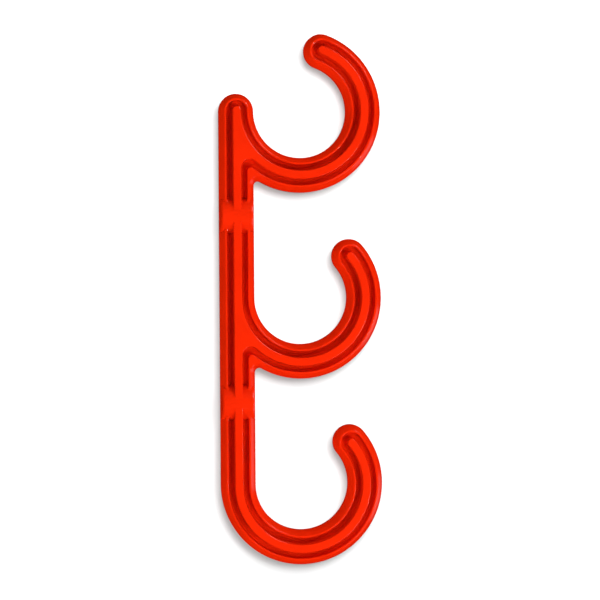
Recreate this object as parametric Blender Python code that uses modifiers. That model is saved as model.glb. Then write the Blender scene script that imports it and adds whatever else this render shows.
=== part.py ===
"""Triple hook: three open hooks, one above another, moulded in one piece with a straight stem.

The arms and the stem share one section: a sloping rim round the edge, a groove inside it and a tall rib
along the middle, alike on both faces. Two round bosses cross the stem between the hooks, each with a
screw hole that runs from the hooks' side through to the back, so that the stem can be fixed to a wall.

Metres, +Z up. X points out from the wall and Y runs through the thickness. The origin is on the back of
the stem, midway between the two bosses.
"""

import math

import bmesh
import bpy
from mathutils import Matrix, Vector

MM = 0.001

# Hooks
HOOK_PITCH = 100 * MM
THROAT_RADIUS = 25 * MM
ARM_WIDTH = 18.6 * MM
TIP_ANGLES = (70, 40, 40)  # degrees above level, from the top hook down
CROTCH_FILLET = 2.3 * MM

# Section, with heights measured from the parting plane
PARTING_HEIGHT = 1.6 * MM
FLANK_WIDTH = 2.8 * MM
FLANK_CROWN = 0.3 * MM
RIM_WIDTH = 3.8 * MM
RIM_HEIGHT = 6.7 * MM
RIM_DRAFT = 3  # degrees
WEB_HEIGHT = 1.8 * MM
FOOT_FILLET = 0.6 * MM
FOOT_SHARE = 0.4  # of a groove's floor, which is the most that one foot fillet takes
RIB_WIDTH = 4.2 * MM
RIB_HEIGHT = 9.3 * MM
RIB_DRAFT = 4
RIB_EDGE = 0.35 * MM

# Bosses and their screw holes
BOSS_DROP = 56 * MM  # from a hook's centre down to the boss below it
BOSS_RADIUS = 9.7 * MM
BOSS_DRAFT = 5.5
BOSS_EDGE = 1.2 * MM
POCKET_END = 6.2 * MM  # from a boss's axis to where the grooves stop beside the rib
POCKET_CORNER = 3.5 * MM
SCREW_HOLE = 5 * MM
SCREW_HEAD = 10 * MM
COUNTERSINK_ANGLE = 90

# Facets, with steps in degrees
ARC_STEP = 7
SMALL_ARC_STEP = 20
BOSS_SIDES = 42
HOLE_SIDES = 24
EDGE_SEGMENTS = 2
EDGE_ANGLE = 30
OVERSHOOT = 1 * MM
MERGE_DISTANCE = 0.01 * MM
SMOOTH_ANGLE = 25

# Sizes that follow
ARM_RADIUS = THROAT_RADIUS + ARM_WIDTH / 2
OUTER_RADIUS = THROAT_RADIUS + ARM_WIDTH
HOOK_X = ARM_WIDTH + THROAT_RADIUS
HOOK_COUNT = len(TIP_ANGLES)
BOSS_COUNT = HOOK_COUNT - 1
LOWEST = HOOK_COUNT - 1

RED = (0.72, 0.011, 0.002, 1)
ROUGHNESS = 0.36


def clear_scene():
    for item in list(bpy.data.objects):
        bpy.data.objects.remove(item, do_unlink=True)


def new_collection(name):
    collection = bpy.data.collections.new(name)
    bpy.context.scene.collection.children.link(collection)
    return collection


def red_plastic():
    material = bpy.data.materials.new("red_plastic")
    material.use_nodes = True
    shader = material.node_tree.nodes["Principled BSDF"]
    shader.inputs["Base Color"].default_value = RED
    shader.inputs["Roughness"].default_value = ROUGHNESS
    shader.inputs["Metallic"].default_value = 0
    return material


# Outlines, as (x, z) points in the plane of the hooks


def boss_z(number):
    """The height of a boss's axis: the bosses lie evenly about the origin."""
    middle = (BOSS_COUNT - 1) / 2
    return (middle - number) * HOOK_PITCH


def hook_centre(number):
    return Vector((HOOK_X, boss_z(number) + BOSS_DROP))


def polar(centre, radius, degrees):
    angle = math.radians(degrees)
    return centre + radius * Vector((math.cos(angle), math.sin(angle)))


def arc(centre, radius, first, last, step=ARC_STEP):
    """Points from one angle to another, both ends included."""
    count = max(2, round(abs(last - first) / step))
    return [polar(centre, radius, first + (last - first) * i / count) for i in range(count + 1)]


def stem_top(inset):
    """The round top of the stem, from its back over to its front."""
    centre = Vector((ARM_WIDTH / 2, hook_centre(0).y))
    return arc(centre, ARM_WIDTH / 2 - inset, 180, 0, SMALL_ARC_STEP)


def arm(number, inset, underside_end):
    """One arm's edge: round the throat, over the tip and back along the outside to a last angle."""
    centre = hook_centre(number)
    tip = TIP_ANGLES[number]
    throat = arc(centre, THROAT_RADIUS + inset, 180, 360 + tip)
    nose = arc(polar(centre, ARM_RADIUS, tip), ARM_WIDTH / 2 - inset, tip + 180, tip, SMALL_ARC_STEP)
    outside = arc(centre, OUTER_RADIUS - inset, tip, underside_end)
    return throat + nose[1:-1] + outside


def crotch(number, inset):
    """The sharp corner where an arm's outside, drawn in by the inset, meets the stem's front."""
    reach = THROAT_RADIUS + inset
    drop = math.sqrt((OUTER_RADIUS - inset) ** 2 - reach**2)
    return hook_centre(number) - Vector((reach, drop))


def underside_angle(number, point):
    """The angle at a hook's centre of a point below and behind it."""
    away = point - hook_centre(number)
    return math.degrees(math.atan2(away.y, away.x))


def filleted_crotch(number):
    """The underside's last angle and the fillet's points, for the outer edge."""
    drop = math.sqrt((OUTER_RADIUS + CROTCH_FILLET) ** 2 - (THROAT_RADIUS - CROTCH_FILLET) ** 2)
    centre = hook_centre(number) - Vector((THROAT_RADIUS - CROTCH_FILLET, drop))
    angle = underside_angle(number, centre)
    return angle, arc(centre, CROTCH_FILLET, angle + 180, 180, SMALL_ARC_STEP)[1:]


def sharp_crotch(number, inset):
    """The same for the rim's inner edge, which turns at a sharp corner."""
    corner = crotch(number, inset)
    return underside_angle(number, corner), []


def swept_crotch(number, inset):
    """The same for the rib, which keeps an even distance round the rim's corner."""
    corner = crotch(number, RIM_WIDTH)
    angle = underside_angle(number, corner)
    return angle, arc(corner, inset - RIM_WIDTH, angle + 180, 180, SMALL_ARC_STEP)[1:]


def full_outline(inset, crotch_style):
    """A closed edge round the whole hook, clockwise from the back of the stem's top."""
    points = stem_top(inset)[:-1]
    for number in range(HOOK_COUNT):
        if number == LOWEST:
            return points + arm(number, inset, -180)
        underside_end, turn = crotch_style(number)
        points += arm(number, inset, underside_end) + turn
    return points


def pocket_outline(number):
    """The rim's inner edge round one hook's groove, which stops short of the bosses."""
    inset = RIM_WIDTH
    back, front = inset + POCKET_CORNER, ARM_WIDTH - inset - POCKET_CORNER
    clear = POCKET_END + POCKET_CORNER
    if number == 0:
        points = stem_top(inset)[:-1]
    else:
        above = boss_z(number - 1) - clear
        points = arc(Vector((back, above)), POCKET_CORNER, 180, 90, SMALL_ARC_STEP)
        points += arc(Vector((front, above)), POCKET_CORNER, 90, 0, SMALL_ARC_STEP)
    if number == LOWEST:
        return points + arm(number, inset, -180)
    underside_end, turn = sharp_crotch(number, inset)
    below = boss_z(number) + clear
    points += arm(number, inset, underside_end) + turn
    points += arc(Vector((front, below)), POCKET_CORNER, 0, -90, SMALL_ARC_STEP)
    points += arc(Vector((back, below)), POCKET_CORNER, -90, -180, SMALL_ARC_STEP)
    return points


# Section


def lean(degrees, height):
    """How far a drafted wall spreads from that height down to the web."""
    return math.tan(math.radians(degrees)) * (height - WEB_HEIGHT)


def foot_fillet():
    """The fillet where a wall meets the web, smaller where the groove is too narrow for it."""
    groove = (ARM_WIDTH - RIB_WIDTH) / 2 - RIM_WIDTH
    floor = groove - lean(RIM_DRAFT, RIM_HEIGHT) - lean(RIB_DRAFT, RIB_HEIGHT)
    return min(FOOT_FILLET, FOOT_SHARE * floor)


# Solids


def settle(bm):
    """Rounds to a tenth of a micrometre, so that faces meant to share a plane do."""
    for vert in bm.verts:
        vert.co = [round(value, 7) for value in vert.co]


def rise(bm, face, levels):
    """Steps a flat face out along its normal through levels of (height, inset)."""
    for (height, inset), (next_height, next_inset) in zip(levels, levels[1:]):
        bmesh.ops.inset_region(
            bm,
            faces=[face],
            use_boundary=True,
            use_even_offset=True,
            thickness=next_inset - inset,
            depth=abs(next_height - height),
        )


def slab(outline, low, high):
    """A straight solid between two heights, and its two flat faces."""
    bm = bmesh.new()
    first = bm.faces.new([bm.verts.new((point.x, low, point.y)) for point in outline])
    grown = bmesh.ops.extrude_face_region(bm, geom=[first])["geom"]
    second = next(part for part in grown if isinstance(part, bmesh.types.BMFace))
    bmesh.ops.translate(bm, verts=second.verts, vec=(0, high - low, 0))
    bmesh.ops.recalc_face_normals(bm, faces=bm.faces)
    return bm, first, second


def two_sided(outline, levels):
    """A solid alike on both faces, with its first level straight through the parting plane."""
    height = levels[0][0]
    bm, front, back = slab(outline, -height, height)
    rise(bm, front, levels)
    rise(bm, back, levels)
    return bm


def hook_body():
    """The hook's full width up to its rim, with a straight band at the parting plane."""
    middle_height = (PARTING_HEIGHT + RIM_HEIGHT) / 2
    middle_inset = FLANK_WIDTH / 2 - FLANK_CROWN
    levels = [(PARTING_HEIGHT, 0), (middle_height, middle_inset), (RIM_HEIGHT, FLANK_WIDTH)]
    return two_sided(full_outline(0, filleted_crotch), levels)


def pocket(number):
    """What is sunk behind one hook's rim down to the web. The rib is added back into it."""
    draft = lean(RIM_DRAFT, RIM_HEIGHT)
    foot = foot_fillet()
    levels = [(RIM_HEIGHT, 0), (WEB_HEIGHT + foot, draft), (WEB_HEIGHT, draft + foot)]
    bm, _, floor = slab(pocket_outline(number), RIM_HEIGHT + OVERSHOOT, RIM_HEIGHT)
    rise(bm, floor, levels)
    return bm


def rib():
    """The rib along the stem and every arm, wider towards its foot in the web."""
    draft = lean(RIB_DRAFT, RIB_HEIGHT)
    foot = foot_fillet()
    foot_inset = (ARM_WIDTH - RIB_WIDTH) / 2 - draft - foot
    outline = full_outline(foot_inset, lambda number: swept_crotch(number, foot_inset))
    levels = [
        (WEB_HEIGHT, 0),
        (WEB_HEIGHT + foot, foot),
        (RIB_HEIGHT - RIB_EDGE, foot + draft),
        (RIB_HEIGHT, foot + draft + RIB_EDGE),
    ]
    return two_sided(outline, levels)


def boss(number):
    """A cylinder across the stem, its ends drafted both ways from the stem's parting band."""
    place = Matrix.Translation((ARM_WIDTH / 2, 0, boss_z(number)))
    turn = Matrix.Rotation(math.radians(90), 4, "Y")
    bm = bmesh.new()
    bmesh.ops.create_cone(
        bm,
        cap_ends=True,
        segments=BOSS_SIDES,
        radius1=BOSS_RADIUS,
        radius2=BOSS_RADIUS,
        depth=ARM_WIDTH,
        matrix=place @ turn,
    )
    for side in (-1, 1):
        bmesh.ops.bisect_plane(
            bm,
            geom=[*bm.verts, *bm.edges, *bm.faces],
            plane_co=(0, side * PARTING_HEIGHT, 0),
            plane_no=(0, 1, 0),
        )
    for vert in bm.verts:
        inward = 1 if vert.co.x < ARM_WIDTH / 2 else -1
        above = max(0, abs(vert.co.y) - PARTING_HEIGHT)
        vert.co.x += inward * math.tan(math.radians(BOSS_DRAFT)) * above
    return bm


def screw_profile():
    """Half the section of a countersunk screw hole, from the head's side down its wall."""
    radius = SCREW_HOLE / 2
    slope = math.tan(math.radians(COUNTERSINK_ANGLE / 2))
    sink = (SCREW_HEAD - SCREW_HOLE) / 2 / slope
    mouth = SCREW_HEAD / 2 + OVERSHOOT * slope
    points = [
        (0, ARM_WIDTH + OVERSHOOT),
        (mouth, ARM_WIDTH + OVERSHOOT),
        (radius, ARM_WIDTH - sink),
        (radius, -OVERSHOOT),
        (0, -OVERSHOOT),
    ]
    bm = bmesh.new()
    verts = [bm.verts.new((x, 0, z)) for x, z in points]
    for pair in zip(verts, verts[1:]):
        bm.edges.new(pair)
    return bm


# Objects


def add_object(name, bm, collection):
    settle(bm)
    mesh = bpy.data.meshes.new(name)
    bm.to_mesh(mesh)
    bm.free()
    mesh.shade_smooth()
    mesh.set_sharp_from_angle(angle=math.radians(SMOOTH_ANGLE))
    item = bpy.data.objects.new(name, mesh)
    collection.objects.link(item)
    return item


def add_tool(name, bm, collection):
    """A solid that only cuts or joins the hook."""
    tool = add_object(name, bm, collection)
    tool.display_type = "WIRE"
    tool.hide_render = True
    return tool


def add_pocket(number, tools):
    tool = add_tool(f"pocket_{number + 1}", pocket(number), tools)
    mirror = tool.modifiers.new("other_face", "MIRROR")
    mirror.use_axis = (False, True, False)
    mirror.merge_threshold = MERGE_DISTANCE
    return tool


def add_boss(number, tools):
    tool = add_tool(f"boss_{number + 1}", boss(number), tools)
    rounded = tool.modifiers.new("rounded_ends", "BEVEL")
    rounded.limit_method = "ANGLE"
    rounded.angle_limit = math.radians(EDGE_ANGLE)
    rounded.width = BOSS_EDGE
    rounded.segments = EDGE_SEGMENTS
    return tool


def add_screw_hole(number, tools):
    """The hole's profile turned about X, with its countersink on the hooks' side."""
    tool = add_tool(f"screw_hole_{number + 1}", screw_profile(), tools)
    tool.location.z = boss_z(number)
    tool.rotation_euler.y = math.radians(90)
    turned = tool.modifiers.new("turned", "SCREW")
    turned.steps = HOLE_SIDES
    turned.render_steps = HOLE_SIDES
    turned.use_merge_vertices = True
    turned.merge_threshold = MERGE_DISTANCE
    return tool


def apply_tool(body, tool, operation):
    modifier = body.modifiers.new(tool.name, "BOOLEAN")
    modifier.operation = operation
    modifier.solver = "EXACT"
    modifier.object = tool


def build():
    clear_scene()
    parts = new_collection("triple_hook")
    tools = new_collection("triple_hook_tools")
    body = add_object("triple_hook", hook_body(), parts)
    body.data.materials.append(red_plastic())
    for number in range(HOOK_COUNT):
        apply_tool(body, add_pocket(number, tools), "DIFFERENCE")
    apply_tool(body, add_tool("rib", rib(), tools), "UNION")
    for number in range(BOSS_COUNT):
        apply_tool(body, add_boss(number, tools), "UNION")
    for number in range(BOSS_COUNT):
        apply_tool(body, add_screw_hole(number, tools), "DIFFERENCE")


build()
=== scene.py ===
"""Triple hook: the finished look of a one-piece red plastic moulding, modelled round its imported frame."""

import math

import bmesh
import bpy
from bpy.props import FloatProperty, FloatVectorProperty, PointerProperty
from mathutils import Matrix, Quaternion, Vector


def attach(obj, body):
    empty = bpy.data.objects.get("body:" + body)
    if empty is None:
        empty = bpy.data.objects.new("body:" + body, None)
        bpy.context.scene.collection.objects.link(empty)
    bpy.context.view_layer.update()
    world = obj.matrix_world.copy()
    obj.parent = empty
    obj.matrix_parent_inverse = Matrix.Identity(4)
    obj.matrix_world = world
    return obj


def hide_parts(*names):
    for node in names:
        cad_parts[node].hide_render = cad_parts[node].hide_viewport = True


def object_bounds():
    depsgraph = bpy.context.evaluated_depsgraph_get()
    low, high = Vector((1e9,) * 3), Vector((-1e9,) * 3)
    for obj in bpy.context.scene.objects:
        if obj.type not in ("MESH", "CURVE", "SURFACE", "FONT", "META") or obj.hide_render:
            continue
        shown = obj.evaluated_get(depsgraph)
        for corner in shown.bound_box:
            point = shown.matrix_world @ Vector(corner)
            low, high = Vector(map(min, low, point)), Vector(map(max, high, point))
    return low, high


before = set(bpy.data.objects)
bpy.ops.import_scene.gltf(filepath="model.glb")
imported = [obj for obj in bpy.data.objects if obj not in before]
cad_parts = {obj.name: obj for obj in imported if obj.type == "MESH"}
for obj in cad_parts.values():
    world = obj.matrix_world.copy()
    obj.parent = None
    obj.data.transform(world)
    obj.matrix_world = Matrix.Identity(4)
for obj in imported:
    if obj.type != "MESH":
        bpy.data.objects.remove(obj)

bl_info = {
    "name": "Triple Hook",
    "version": (1, 0, 0),
    "blender": (4, 5, 0),
    "location": "View3D > Sidebar > Triple Hook",
    "description": "Models the triple hook with its plastic finish, and sets up its stage",
    "category": "Object",
}

MM = 0.001
NODE = "triple_hook"

CAD_LOW, CAD_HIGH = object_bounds()
MIDDLE = (CAD_LOW + CAD_HIGH) / 2

# How many degrees above level each tip lies, from the top hook down
TIP_ANGLES = (70, 40, 40)
LOWEST = len(TIP_ANGLES) - 1
BOSS_COUNT = LOWEST

# Steps of the arcs, in degrees, and of each rounded edge
ARC_STEP = 2.5
SMALL_ARC_STEP = 7.5
EDGE_STEPS = 4
BOSS_EDGE_STEPS = 6
BOSS_SIDES = 96
HOLE_SIDES = 64
SMOOTH_ANGLE = 32

# How far a cutter reaches past what it cuts, and a section line's guides past its ends
OVERSHOOT = 1 * MM
GUIDE = 1 * MM

# The share of a section line's first step by which it is drawn back
LEAD = 0.5

# What counts as one point, the decimals a mesh is rounded to, and how much an end's normal lies along its axis
TINY = 0.001 * MM
DECIMALS = 7
END_FACE = 0.9

# The noises' middle range, which the finish spreads between its values
NOISE_LOW, NOISE_HIGH = 0.3, 0.7

# The pale surface: its grey, and its own glow, which grows between two distances from the origin
FLOOR_SIZE = 6
FLOOR_GREY = 0.25
GLOW_COLOUR = (0.92, 1, 1, 1)
GLOW_NEAR, GLOW_FAR = 0.32, 1
NEAR, FAR = 200 * MM, 600 * MM

# The softboxes' side and distance
BOX_SIZE = 0.5
BOX_DISTANCE = 1.2
GLINT_SIZE = 0.15
SHADOW_DISTANCE = 1.05

# The view: where the camera is beside and above the origin, what it looks at, its lean and its width
CAMERA_ASIDE = -75.1 * MM
CAMERA_ABOVE = 15.7 * MM
AIM = Vector((43.38 * MM, 0, 4.67 * MM))
CAMERA_LEAN = -0.387
VIEW_WIDTH = 323.05 * MM
SENSOR_WIDTH = 36


def length(name, description, default):
    return FloatProperty(
        name=name, description=description, default=default, min=0, unit="LENGTH", precision=5
    )


def power(name, description, watts):
    return FloatProperty(name=name, description=description, default=watts, min=0, unit="POWER")


def share(name, description, default):
    return FloatProperty(name=name, description=description, default=default, min=0, max=1, subtype="FACTOR")


def angle(name, description, degrees):
    return FloatProperty(name=name, description=description, default=math.radians(degrees), unit="ROTATION")


class HookSizes(bpy.types.PropertyGroup):
    """Sizes of the moulding, with heights measured from its parting plane."""

    hook_pitch: length("Hook pitch", "From one hook down to the next", 100 * MM)
    arm_width: length("Arm width", "Width of the arms and the stem", 18.6 * MM)
    boss_drop: length("Boss drop", "From a hook's centre down to the boss below it", 56 * MM)
    crotch_fillet: length("Crotch fillet", "Radius under each arm, where it leaves the stem", 2.3 * MM)
    rim_crotch: length("Rim crotch", "Radius of the rim's land there, beside the groove", 2.1 * MM)
    rib_crotch: length("Rib crotch", "Radius of the rib's top there", 4.7 * MM)
    foot_radius: length("Foot radius", "Radius along both feet of the grooves' walls", 1.1 * MM)
    parting_edge: length("Parting edge", "Radius where the flank leaves the straight band", 0.25 * MM)
    rim_edge: length("Rim edge", "Radius on both sides of the rim's land", 0.5 * MM)
    rib_edge: length("Rib edge", "Radius along the top of the rib", 0.45 * MM)
    parting_height: length("Parting height", "Half the straight band round the edge", 1.6 * MM)
    flank_width: length("Flank width", "Width of the sloping flank of the rim", 2.8 * MM)
    flank_crown: length("Flank crown", "How far the flank swells at its middle", 0.3 * MM)
    flank_bow: length("Flank bow", "Radius of the swell's middle", 12 * MM)
    rim_width: length("Rim width", "From the edge in to the groove", 3.8 * MM)
    rim_height: length("Rim height", "Height of the rim's land", 6.7 * MM)
    rim_draft: angle("Rim draft", "Lean of the groove's wall under the rim", 3)
    web_height: length("Web height", "Height of the groove's floor", 1.8 * MM)
    rib_width: length("Rib width", "Width of the middle rib at its top", 4.2 * MM)
    rib_height: length("Rib height", "Height of the middle rib", 9.3 * MM)
    rib_draft: angle("Rib draft", "Lean of the rib's walls", 4)
    boss_radius: length("Boss radius", "Radius of the two screw bosses", CAD_HIGH.y)
    boss_draft: angle("Boss draft", "Lean of the bosses' ends, away from the parting band", 5.5)
    boss_edge: length("Boss edge", "Radius round the bosses' ends", 1.2 * MM)
    pocket_end: length("Pocket end", "From a boss's axis to the end of a groove at the rib", 6.2 * MM)
    pocket_corner: length("Pocket corner", "Radius of a groove's end beside the rim", 3.5 * MM)
    screw_hole: length("Screw hole", "Diameter of a screw hole", 5 * MM)
    screw_head: length("Screw head", "Diameter of its countersink", 10 * MM)


class HookFinish(bpy.types.PropertyGroup):
    """The plastic's colour and surface."""

    colour: FloatVectorProperty(
        name="Colour",
        description="Colour of the plastic",
        subtype="COLOR",
        size=4,
        min=0,
        max=1,
        default=(0.72, 0.017, 0.0012, 1),
    )
    roughness: share("Roughness", "Mean roughness of the plastic", 0.2)
    smoother: share("Smoother", "How much less rough its smoothest patches are", 0.03)
    rougher: share("Rougher", "How much rougher its roughest patches are", 0.04)
    clouds: length("Clouds", "Size of the faint clouds in its colour", 14 * MM)
    patches: length("Patches", "Size of the patches of uneven gloss", 5 * MM)
    grain: length("Grain", "Size of the fine grain left by the mould", 0.35 * MM)
    grain_height: length("Grain height", "Height of the grain", 0.02 * MM)
    grain_strength: share("Grain strength", "How much of the grain shows", 0.08)
    waves: length("Waves", "Size of the broad waves of a moulded face", 2.5 * MM)
    wave_height: length("Wave height", "Height of the waves", 0.05 * MM)
    wave_strength: share("Wave strength", "How much of the waves shows", 0.14)


class HookStage(bpy.types.PropertyGroup):
    """The pale surface behind the hook, the lights and the camera."""

    floor_gap: length("Floor gap", "From the hook's back to the pale surface", 0.3 * MM)
    room_light: FloatProperty(name="Room light", description="Even light from all round", default=1.88, min=0)
    key_power: power("Key", "Softbox to the lower right, near the camera", 7.9)
    right_power: power("Right", "Softbox to the upper right", 6.2)
    left_power: power("Left", "Softbox to the lower left", 4.2)
    low_power: power("Low", "Softbox farther round to the lower right", 2)
    glint_power: power("Glint", "Small lamp to the right that leaves thin glints", 3)
    edge_power: power("Edge", "Softbox just behind the right edge", 0.42)
    back_power: power("Back", "Softbox behind the hook and to its left", 6)
    shadow_power: power("Shadow", "Softbox above the hook that throws its shadow", 40)
    camera_distance: length("Camera distance", "From the camera to the hook's middle plane", 1.034)


def sizes():
    return bpy.context.scene.hook_sizes


# Places in the plane of the hooks, as (x, z)


def throat_radius():
    """Half of what the hooks' outside is wide, less an arm."""
    return (CAD_HIGH.x - CAD_LOW.x) / 2 - sizes().arm_width


def outer_radius():
    return throat_radius() + sizes().arm_width


def boss_height(number):
    """Where a boss's axis lies: the bosses stand evenly about the origin."""
    return ((BOSS_COUNT - 1) / 2 - number) * sizes().hook_pitch


def hook_centre(number):
    return Vector((sizes().arm_width + throat_radius(), boss_height(number) + sizes().boss_drop))


def polar(centre, radius, degrees):
    turn = math.radians(degrees)
    return centre + radius * Vector((math.cos(turn), math.sin(turn)))


def underside_angle(number, point):
    """The angle at a hook's centre of a point below and behind it."""
    away = point - hook_centre(number)
    return math.degrees(math.atan2(away.y, away.x))


def crotch_centre(number, inset):
    """Where an arm's outside, drawn in by the inset, meets the stem's front, drawn in as much."""
    reach = throat_radius() + inset
    drop = math.sqrt((outer_radius() - inset) ** 2 - reach**2)
    return hook_centre(number) - Vector((reach, drop))


# Drawing in edit mode


def add_to_scene(name, add, **settings):
    """A new primitive, alone selected, with its place moved into its mesh."""
    bpy.ops.object.select_all(action="DESELECT")
    add(**settings)
    item = bpy.context.object
    item.name = name
    bpy.ops.object.transform_apply(location=True, rotation=True, scale=True)
    return item


def edit_mesh():
    return bmesh.from_edit_mesh(bpy.context.object.data)


def select(kind, wanted):
    """Selects the vertices, edges or faces that a test picks, and nothing else."""
    bpy.ops.mesh.select_mode(type=kind)
    bpy.ops.mesh.select_all(action="DESELECT")
    bm = edit_mesh()
    for part in {"VERT": bm.verts, "EDGE": bm.edges, "FACE": bm.faces}[kind]:
        if wanted(part):
            part.select_set(True)
    bm.select_flush_mode()
    bmesh.update_edit_mesh(bpy.context.object.data)


def pen():
    """Where the one selected vertex is, as (x, z)."""
    co = next(vert.co for vert in edit_mesh().verts if vert.select)
    return Vector((co.x, co.z))


def pick_up_pen(name, centre, radius, height, sweep):
    """Starts an outline with an arc from 180 degrees back over the top, and leaves its end selected."""
    add_to_scene(
        name,
        bpy.ops.mesh.primitive_circle_add,
        vertices=round(360 / SMALL_ARC_STEP),
        radius=radius,
        location=(centre.x, height, centre.y),
        rotation=(math.radians(90), 0, 0),
    )
    end = polar(centre, radius, 180 - sweep)
    bpy.ops.object.mode_set(mode="EDIT")
    select("VERT", lambda vert: vert.co.z < centre.y - TINY or vert.co.x > end.x + TINY)
    bpy.ops.mesh.delete(type="VERT")
    select("VERT", lambda vert: (Vector((vert.co.x, vert.co.z)) - end).length < TINY)


def draw_line(point):
    step = point - pen()
    if step.length > TINY:
        bpy.ops.mesh.extrude_region_move(TRANSFORM_OT_translate={"value": (step.x, 0, step.y)})


def draw_arc(centre, first, last, step):
    bpy.ops.mesh.spin(
        steps=max(2, round(abs(last - first) / step)),
        angle=math.radians(last - first),
        center=(centre.x, 0, centre.y),
        axis=(0, 1, 0),
    )


def draw_arm(number, inset, underside_end):
    """One arm's edge: down the stem's front, round the throat, over the tip and back along the outside."""
    width, tip = sizes().arm_width, TIP_ANGLES[number]
    centre = hook_centre(number)
    draw_line(polar(centre, throat_radius() + inset, 180))
    draw_arc(centre, 180, 360 + tip, ARC_STEP)
    draw_arc(polar(centre, throat_radius() + width / 2, tip), tip + 180, tip, SMALL_ARC_STEP)
    draw_arc(centre, tip, underside_end, ARC_STEP)


def draw_crotch(number, inset, centre_inset):
    """An arm and its round turn into the stem's front, centred where edges drawn in less would meet."""
    centre = crotch_centre(number, centre_inset)
    underside_end = underside_angle(number, centre)
    draw_arm(number, inset, underside_end)
    draw_arc(centre, underside_end + 180, 180, SMALL_ARC_STEP)


def close_outline():
    """Fills the outline, which its last straight side then closes."""
    bpy.ops.mesh.select_all(action="SELECT")
    bpy.ops.mesh.edge_face_add()


def draw_hook(name, inset, height, centre_inset):
    """A flat face of the whole hook, from the round top of the stem down and back up."""
    middle = Vector((sizes().arm_width / 2, hook_centre(0).y))
    pick_up_pen(name, middle, sizes().arm_width / 2 - inset, height, 180)
    for number in range(LOWEST):
        draw_crotch(number, inset, centre_inset)
    draw_arm(LOWEST, inset, -180)
    close_outline()


def draw_pocket(number, inset, height):
    """A flat face of one hook's groove, which stops short of the bosses with round corners."""
    corner = sizes().pocket_corner + sizes().rim_width - inset
    back = sizes().rim_width + sizes().pocket_corner
    front = sizes().arm_width - back
    clear = sizes().pocket_end + sizes().pocket_corner
    name = f"pocket_{number}"
    if number == 0:
        middle = Vector((sizes().arm_width / 2, hook_centre(0).y))
        pick_up_pen(name, middle, sizes().arm_width / 2 - inset, height, 180)
    else:
        above = boss_height(number - 1) - clear
        pick_up_pen(name, Vector((back, above)), corner, height, 90)
        draw_line(Vector((front, above + corner)))
        draw_arc(Vector((front, above)), 90, 0, SMALL_ARC_STEP)
    if number == LOWEST:
        draw_arm(number, inset, -180)
    else:
        draw_crotch(number, inset, sizes().rim_width - sizes().rim_crotch)
        below = boss_height(number) + clear
        draw_line(Vector((front + corner, below)))
        draw_arc(Vector((front, below)), 0, -90, SMALL_ARC_STEP)
        draw_line(Vector((back, below - corner)))
        draw_arc(Vector((back, below)), -90, -180, SMALL_ARC_STEP)
    close_outline()


# Solids


def rounded(corners):
    """A section line through corners of (inset, height, radius), each turned at its radius."""
    line = []
    for index, (inset, height, radius) in enumerate(corners):
        here = Vector((inset, height))
        if not radius:
            line.append(here)
            continue
        before = (Vector(corners[index - 1][:2]) - here).normalized()
        after = (Vector(corners[index + 1][:2]) - here).normalized()
        half = before.angle(after) / 2
        centre = here + (before + after).normalized() * radius / math.sin(half)
        start = here + before * radius / math.tan(half) - centre
        end = here + after * radius / math.tan(half) - centre
        turn = start.angle_signed(end)
        for step in range(EDGE_STEPS + 1):
            line.append(centre + Matrix.Rotation(-turn * step / EDGE_STEPS, 2) @ start)
    return line


def lead_in(line):
    """The line with its flat start dropped and its first slope drawn back, so that it cuts through a face."""
    first, second = line[1], line[2]
    return [first + (first - second) * LEAD] + line[2:]


def thicken(distance):
    """Pulls the selected flat face out along Y to a closed solid."""
    bpy.ops.mesh.extrude_region_move(TRANSFORM_OT_translate={"value": (0, distance, 0)})
    bpy.ops.mesh.select_all(action="SELECT")
    bpy.ops.mesh.normals_make_consistent(inside=False)


def step_along(line, faces):
    """Insets the chosen flat faces from level to level of a section line."""
    select("FACE", faces)
    for here, there in zip(line, line[1:]):
        bpy.ops.mesh.inset(
            use_boundary=True,
            use_even_offset=True,
            thickness=max(0, there.x - here.x),
            depth=abs(there.y - here.y),
        )
    bpy.ops.object.mode_set(mode="OBJECT")


def flat_end(height):
    """A test for a solid's flat faces that lie that far from the parting plane, on either side of it."""

    def test(face):
        level = abs(face.normal.y) > 1 - TINY
        return level and abs(abs(face.calc_center_median().y) - height) < TINY

    return test


def settle(item):
    """Rounds a mesh to a tenth of a micrometre, so that faces meant to share a plane do."""
    for vert in item.data.vertices:
        vert.co = [round(value, DECIMALS) for value in vert.co]


def edge_band():
    """The hook's full width, up over its flank to the rim's land."""
    s = sizes()
    middle = Vector((s.flank_width / 2 - s.flank_crown, (s.parting_height + s.rim_height) / 2))
    line = rounded([
        (0, 0, 0),
        (0, s.parting_height, s.parting_edge),
        (middle.x, middle.y, s.flank_bow),
        (s.flank_width, s.rim_height, s.rim_edge),
        (s.rim_width, s.rim_height, 0),
    ])[1:-1]
    start = line[0].y
    draw_hook("hook_moulding", 0, start, -s.crotch_fillet)
    thicken(-2 * start)
    step_along(line, flat_end(start))
    return bpy.context.object


def groove_line():
    """The section of a groove's wall, from above the rim's land down to the web."""
    s = sizes()
    foot = s.rim_width + math.tan(s.rim_draft) * (s.rim_height - s.web_height)
    return lead_in(rounded([
        (s.rim_width - GUIDE, s.rim_height, 0),
        (s.rim_width, s.rim_height, s.rim_edge),
        (foot, s.web_height, s.foot_radius),
        (foot + GUIDE, s.web_height, 0),
    ]))[:-1]


def groove(number):
    """What is sunk behind one hook's rim down to the web, on both faces."""
    line = groove_line()
    start = line[0].y
    draw_pocket(number, line[0].x, start)
    thicken(OVERSHOOT)
    step_along(line, flat_end(start))
    item = bpy.context.object
    mirror = item.modifiers.new("other_face", "MIRROR")
    mirror.use_axis = (False, True, False)
    mirror.merge_threshold = TINY
    bpy.ops.object.modifier_apply(modifier=mirror.name)
    return item


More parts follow.
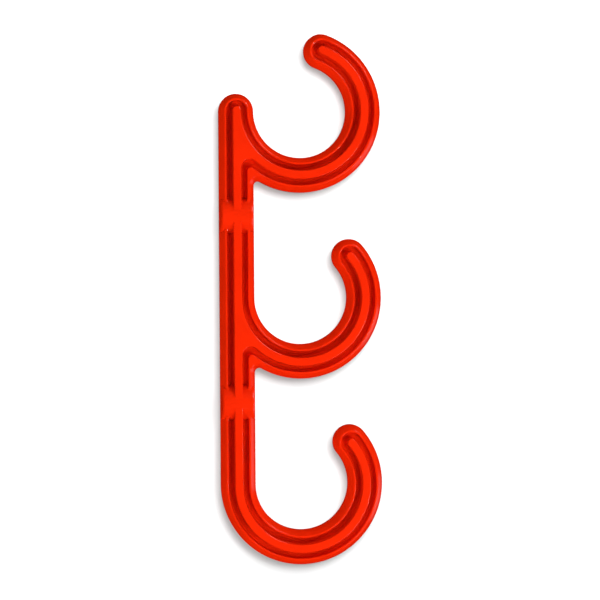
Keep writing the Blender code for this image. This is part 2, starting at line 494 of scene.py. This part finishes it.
def rib():
    """The middle rib of the stem and every arm."""
    s = sizes()
    top = (s.arm_width - s.rib_width) / 2
    foot = top - math.tan(s.rib_draft) * (s.rib_height - s.web_height)
    line = lead_in(rounded([
        (foot - GUIDE, s.web_height, 0),
        (foot, s.web_height, s.foot_radius),
        (top, s.rib_height, s.rib_edge),
        (top + GUIDE, s.rib_height, 0),
    ]))[:-1]
    start = line[0].y
    draw_hook("rib", line[0].x, start, top - s.rib_crotch)
    thicken(-2 * start)
    step_along(line, flat_end(start))
    return bpy.context.object


def boss(height):
    """A round boss across the stem, its ends drafted both ways from the parting band and rounded off."""
    s = sizes()
    item = add_to_scene(
        "boss",
        bpy.ops.mesh.primitive_cylinder_add,
        vertices=BOSS_SIDES,
        radius=s.boss_radius,
        depth=s.arm_width,
        location=(s.arm_width / 2, 0, height),
        rotation=(0, math.radians(90), 0),
    )
    bpy.ops.object.mode_set(mode="EDIT")
    for end, out in ((0, -1), (s.arm_width, 1)):
        for side in (-1, 1):
            bpy.ops.mesh.select_all(action="SELECT")
            bpy.ops.mesh.bisect(
                plane_co=(end, side * s.parting_height, height),
                plane_no=(out * math.cos(s.boss_draft), side * math.sin(s.boss_draft), 0),
                use_fill=True,
                clear_outer=True,
                threshold=TINY,
            )
    select("EDGE", lambda edge: len({abs(face.normal.x) > END_FACE for face in edge.link_faces}) == 2)
    bpy.ops.mesh.bevel(offset=s.boss_edge, segments=BOSS_EDGE_STEPS, affect="EDGES")
    bpy.ops.object.mode_set(mode="OBJECT")
    return item


def screw_hole(height):
    """What a countersunk hole along X takes away, with the countersink on the hooks' side."""
    s = sizes()
    sink = (s.screw_head - s.screw_hole) / 2
    item = add_to_scene(
        "screw_hole",
        bpy.ops.mesh.primitive_cylinder_add,
        vertices=HOLE_SIDES,
        radius=s.screw_hole / 2,
        depth=s.arm_width + 2 * OVERSHOOT,
        location=(s.arm_width / 2, 0, height),
        rotation=(0, math.radians(90), 0),
    )
    bpy.ops.object.mode_set(mode="EDIT")
    select("FACE", lambda face: face.normal.x > END_FACE)
    bpy.ops.transform.translate(value=(-sink - OVERSHOOT, 0, 0))
    bpy.ops.mesh.extrude_region_move(TRANSFORM_OT_translate={"value": (sink + OVERSHOOT, 0, 0)})
    wide = (s.screw_head / 2 + OVERSHOOT) / (s.screw_hole / 2)
    bpy.ops.transform.resize(value=(1, wide, wide), center_override=(0, 0, height))
    bpy.ops.object.mode_set(mode="OBJECT")
    return item


def combine(body, tool, operation):
    """Joins a solid to the body or cuts it out, and removes the solid."""
    settle(body)
    settle(tool)
    bpy.ops.object.select_all(action="DESELECT")
    body.select_set(True)
    bpy.context.view_layer.objects.active = body
    modifier = body.modifiers.new(tool.name, "BOOLEAN")
    modifier.operation = operation
    modifier.solver = "EXACT"
    modifier.object = tool
    bpy.ops.object.modifier_apply(modifier=modifier.name)
    bpy.data.objects.remove(tool, do_unlink=True)


def smooth(item):
    """Shades the rounded edges smooth, with every flat kept flat."""
    bpy.ops.object.shade_smooth_by_angle(angle=math.radians(SMOOTH_ANGLE))
    weighted = item.modifiers.new("flats", "WEIGHTED_NORMAL")
    weighted.keep_sharp = True
    bpy.ops.object.modifier_apply(modifier=weighted.name)


# Plastic


def add_node(tree, kind, place, **settings):
    node = tree.nodes.new(kind)
    node.location = place
    for name, value in settings.items():
        setattr(node, name, value)
    return node


def noise(tree, place, coordinates, size, detail, roughness):
    """Noise in real space, with features of about that size."""
    node = add_node(tree, "ShaderNodeTexNoise", place)
    node.inputs["Scale"].default_value = 1 / size
    node.inputs["Detail"].default_value = detail
    node.inputs["Roughness"].default_value = roughness
    tree.links.new(coordinates.outputs["Object"], node.inputs["Vector"])
    return node


def ranged(tree, place, source, low, high):
    """The source's middle range spread between two values."""
    node = add_node(tree, "ShaderNodeMapRange", place)
    node.inputs["From Min"].default_value = NOISE_LOW
    node.inputs["From Max"].default_value = NOISE_HIGH
    node.inputs["To Min"].default_value = low
    node.inputs["To Max"].default_value = high
    tree.links.new(source.outputs["Fac"], node.inputs["Value"])
    return node


def bumps(tree, place, source, strength, height):
    """The source's hills, as a normal."""
    node = add_node(tree, "ShaderNodeBump", place)
    node.inputs["Strength"].default_value = strength
    node.inputs["Distance"].default_value = height
    tree.links.new(source.outputs["Fac"], node.inputs["Height"])
    return node


def red_plastic():
    """Semi-gloss moulded plastic: faint clouds in its colour, uneven gloss, broad waves and fine grain."""
    finish = bpy.context.scene.hook_finish
    material = bpy.data.materials.new("red_plastic")
    material.use_nodes = True
    tree = material.node_tree
    shader = tree.nodes["Principled BSDF"]
    coordinates = add_node(tree, "ShaderNodeTexCoord", (-1200, 0))

    clouds = noise(tree, (-950, 350), coordinates, finish.clouds, detail=3, roughness=0.5)
    shade = ranged(tree, (-720, 350), clouds, low=0.94, high=1.04)
    tint = add_node(tree, "ShaderNodeMix", (-450, 350), data_type="RGBA", blend_type="MULTIPLY")
    tint.inputs["Factor"].default_value = 1
    tint.inputs["A"].default_value = finish.colour
    tree.links.new(shade.outputs["Result"], tint.inputs["B"])
    tree.links.new(tint.outputs["Result"], shader.inputs["Base Color"])

    patches = noise(tree, (-950, 50), coordinates, finish.patches, detail=4, roughness=0.6)
    smoothest, roughest = finish.roughness - finish.smoother, finish.roughness + finish.rougher
    gloss = ranged(tree, (-720, 50), patches, smoothest, roughest)
    tree.links.new(gloss.outputs["Result"], shader.inputs["Roughness"])

    grain = noise(tree, (-950, -250), coordinates, finish.grain, detail=2, roughness=0.5)
    waves = noise(tree, (-950, -500), coordinates, finish.waves, detail=2, roughness=0.5)
    fine = bumps(tree, (-450, -250), grain, finish.grain_strength, finish.grain_height)
    broad = bumps(tree, (-250, -400), waves, finish.wave_strength, finish.wave_height)
    tree.links.new(fine.outputs["Normal"], broad.inputs["Normal"])
    tree.links.new(broad.outputs["Normal"], shader.inputs["Normal"])

    shader.inputs["IOR"].default_value = 1.49
    return material


class HOOK_OT_moulding(bpy.types.Operator):
    """Model the hook's one moulded piece"""

    bl_idname = "hook.moulding"
    bl_label = "Moulding"

    def execute(self, context):
        body = edge_band()
        for number in range(len(TIP_ANGLES)):
            combine(body, groove(number), "DIFFERENCE")
        combine(body, rib(), "UNION")
        for number in range(BOSS_COUNT):
            combine(body, boss(boss_height(number)), "UNION")
        for number in range(BOSS_COUNT):
            combine(body, screw_hole(boss_height(number)), "DIFFERENCE")
        smooth(body)
        body.data.materials.clear()
        body.data.materials.append(red_plastic())
        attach(body, "root")
        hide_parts(NODE)
        return {"FINISHED"}


# Stage


def pale_surface():
    """White that takes a soft shadow near the hook, clear from behind so that the back can be looked at."""
    material = bpy.data.materials.new("pale_surface")
    material.use_nodes = True
    tree = material.node_tree
    shader = tree.nodes["Principled BSDF"]
    shader.inputs["Base Color"].default_value = (FLOOR_GREY, FLOOR_GREY, FLOOR_GREY, 1)
    shader.inputs["Roughness"].default_value = 1
    shader.inputs["Specular IOR Level"].default_value = 0
    shader.inputs["Emission Color"].default_value = GLOW_COLOUR
    coordinates = add_node(tree, "ShaderNodeTexCoord", (-900, 0))
    away = add_node(tree, "ShaderNodeVectorMath", (-700, 0), operation="LENGTH")
    glow = add_node(tree, "ShaderNodeMapRange", (-450, 0))
    glow.inputs["From Min"].default_value = NEAR
    glow.inputs["From Max"].default_value = FAR
    glow.inputs["To Min"].default_value = GLOW_NEAR
    glow.inputs["To Max"].default_value = GLOW_FAR
    tree.links.new(coordinates.outputs["Object"], away.inputs[0])
    tree.links.new(away.outputs["Value"], glow.inputs["Value"])
    tree.links.new(glow.outputs["Result"], shader.inputs["Emission Strength"])
    clear = add_node(tree, "ShaderNodeBsdfTransparent", (0, -200))
    side = add_node(tree, "ShaderNodeNewGeometry", (0, 400))
    mix = add_node(tree, "ShaderNodeMixShader", (300, 200))
    tree.links.new(side.outputs["Backfacing"], mix.inputs["Fac"])
    tree.links.new(shader.outputs["BSDF"], mix.inputs[1])
    tree.links.new(clear.outputs["BSDF"], mix.inputs[2])
    tree.links.new(mix.outputs["Shader"], tree.nodes["Material Output"].inputs["Surface"])
    return material


def add_floor():
    """The pale surface that the hook lies on, seen square from above. It doesn't light the hook."""
    stage = bpy.context.scene.hook_stage
    floor = add_to_scene(
        "pale_floor",
        bpy.ops.mesh.primitive_plane_add,
        size=FLOOR_SIZE,
        location=(0, CAD_HIGH.y + stage.floor_gap, 0),
        rotation=(math.radians(90), 0, 0),
    )
    floor.data.materials.append(pale_surface())
    floor.visible_shadow = False
    floor.visible_diffuse = False
    floor.visible_glossy = False
    return floor


def only_for(light, item):
    """Keeps a light to one object."""
    group = bpy.data.collections.new(light.name + "_lights")
    group.objects.link(item)
    light.light_linking.receiver_collection = group


def way_from(tilt, turn):
    """A direction leaning that far from the line towards the viewer, turned from the right over the top."""
    lean, around = math.radians(tilt), math.radians(turn)
    flat = math.sin(lean)
    return Vector((flat * math.cos(around), -math.cos(lean), flat * math.sin(around)))


def add_light(kind, name, way, energy, glossy):
    """A light that shines on the hook from out along the way. Reflections show it only where it's glossy."""
    bpy.ops.object.select_all(action="DESELECT")
    bpy.ops.object.light_add(type=kind, location=MIDDLE + way)
    light = bpy.context.object
    light.name = name
    light.data.energy = energy
    light.data.cycles.use_multiple_importance_sampling = glossy
    light.rotation_euler = way.to_track_quat("Z", "Y").to_euler()
    light.visible_camera = False
    light.visible_glossy = glossy
    return light


def add_softbox(name, tilt, turn, energy, glossy=False, size=BOX_SIZE, distance=BOX_DISTANCE):
    light = add_light("AREA", name, way_from(tilt, turn) * distance, energy, glossy)
    light.data.shape = "SQUARE"
    light.data.size = size
    return light


def add_glint():
    """A small lamp to the right, which is only seen as thin glints along the rounded edges."""
    energy = bpy.context.scene.hook_stage.glint_power
    light = add_softbox("glint", tilt=48, turn=335, energy=energy, glossy=True, size=GLINT_SIZE)
    light.visible_diffuse = False
    return light


def add_half_room(name, tilt, energy):
    """Even light from half of all directions, which leaves no reflections."""
    light = add_light("SUN", name, way_from(tilt, 0), energy, glossy=False)
    light.data.angle = math.pi


def white_studio():
    """White all round to look at, which gives no light."""
    world = bpy.data.worlds.new("white_studio")
    bpy.context.scene.world = world
    world.use_nodes = True
    room = world.node_tree.nodes["Background"]
    room.inputs["Color"].default_value = (1, 1, 1, 1)
    room.inputs["Strength"].default_value = 1
    for seen_by in ("diffuse", "glossy", "transmission", "scatter"):
        setattr(world.cycles_visibility, seen_by, False)


def add_camera():
    """In front of the hook, from a little to its left."""
    place = Vector((CAMERA_ASIDE, -bpy.context.scene.hook_stage.camera_distance, CAMERA_ABOVE))
    bpy.ops.object.camera_add(location=place)
    camera = bpy.context.object
    camera.name = "camera"
    sight = AIM - place
    lean = Quaternion((0, 0, 1), math.radians(CAMERA_LEAN))
    camera.rotation_euler = (sight.to_track_quat("-Z", "Y") @ lean).to_euler()
    camera.data.sensor_width = SENSOR_WIDTH
    camera.data.lens = SENSOR_WIDTH * sight.length / VIEW_WIDTH
    camera.data.dof.use_dof = False
    bpy.context.scene.camera = camera


class HOOK_OT_stage(bpy.types.Operator):
    """Set up the pale surface, the lights and the camera"""

    bl_idname = "hook.stage"
    bl_label = "Stage"

    def execute(self, context):
        stage = context.scene.hook_stage
        hook = bpy.data.objects["hook_moulding"]
        floor = add_floor()
        add_half_room("room_front", tilt=0, energy=stage.room_light)
        add_half_room("room_back", tilt=180, energy=stage.room_light)
        only_for(add_softbox("key", tilt=30, turn=315, energy=stage.key_power), hook)
        only_for(add_softbox("right", tilt=60, turn=45, energy=stage.right_power, glossy=True), hook)
        only_for(add_softbox("left", tilt=60, turn=225, energy=stage.left_power), hook)
        only_for(add_softbox("low", tilt=60, turn=315, energy=stage.low_power, glossy=True), hook)
        only_for(add_glint(), hook)
        only_for(add_softbox("edge", tilt=115, turn=340, energy=stage.edge_power, glossy=True), hook)
        only_for(add_softbox("back", tilt=140, turn=180, energy=stage.back_power), hook)
        shadow = add_softbox("shadow", tilt=17, turn=74, energy=stage.shadow_power, distance=SHADOW_DISTANCE)
        only_for(shadow, floor)
        white_studio()
        add_camera()
        context.scene.view_settings.view_transform = "Standard"
        return {"FINISHED"}


class HOOK_PT_panel(bpy.types.Panel):
    """Sizes, finish and stage of the hook"""

    bl_idname = "HOOK_PT_panel"
    bl_label = "Triple Hook"
    bl_space_type = "VIEW_3D"
    bl_region_type = "UI"
    bl_category = "Triple Hook"

    def draw(self, context):
        layout = self.layout
        layout.operator(HOOK_OT_moulding.bl_idname)
        layout.operator(HOOK_OT_stage.bl_idname)
        for group in (context.scene.hook_sizes, context.scene.hook_finish, context.scene.hook_stage):
            box = layout.box()
            for name in group.bl_rna.properties.keys():
                if name not in ("rna_type", "name"):
                    box.prop(group, name)


CLASSES = (HookSizes, HookFinish, HookStage, HOOK_OT_moulding, HOOK_OT_stage, HOOK_PT_panel)


def register():
    for item in CLASSES:
        bpy.utils.register_class(item)
    bpy.types.Scene.hook_sizes = PointerProperty(type=HookSizes)
    bpy.types.Scene.hook_finish = PointerProperty(type=HookFinish)
    bpy.types.Scene.hook_stage = PointerProperty(type=HookStage)


def unregister():
    del bpy.types.Scene.hook_stage
    del bpy.types.Scene.hook_finish
    del bpy.types.Scene.hook_sizes
    for item in reversed(CLASSES):
        bpy.utils.unregister_class(item)


def main():
    register()
    bpy.ops.hook.moulding()
    bpy.ops.hook.stage()


if __name__ == "__main__":
    main()
